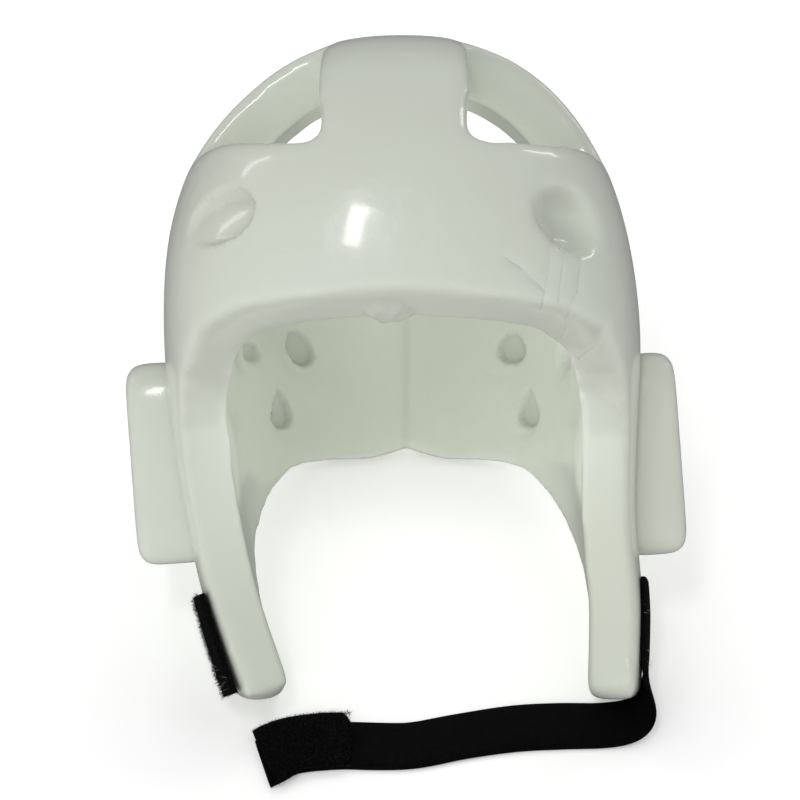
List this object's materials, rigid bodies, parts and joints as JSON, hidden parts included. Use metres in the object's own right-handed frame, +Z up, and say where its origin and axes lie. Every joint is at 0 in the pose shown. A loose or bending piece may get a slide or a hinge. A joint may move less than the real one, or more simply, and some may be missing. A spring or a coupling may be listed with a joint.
{
  "type": "taekwondo headgear",
  "caption": "White dipped-foam taekwondo headgear with open crown windows, ear guards, hook-and-loop patch and a loose black chin strap, standing on its arm tips and nape edge.",
  "frame": {"origin": "middle of the footprint on the table that it stands on", "axes": "+Z up from the table, -Y towards the open face, +X to the right of someone who looks into the face opening"},
  "size_m": [0.2122, 0.264, 0.2179],
  "materials": {
    "foam_coat": "glossy dipped vinyl coat over closed-cell foam, off-white",
    "elastic": "black woven elastic, matt",
    "hook_tape": "black hook tape, matt",
    "loop_tape": "black loop pile, matt and fuzzy"
  },
  "bodies": {
    "root": {"shell": "foam_coat", "ear_guard_left": "foam_coat", "ear_guard_right": "foam_coat", "chin_strap": "elastic", "strap_end_pad": "hook_tape", "loop_patch": "loop_tape"}
  },
  "joints": []
}
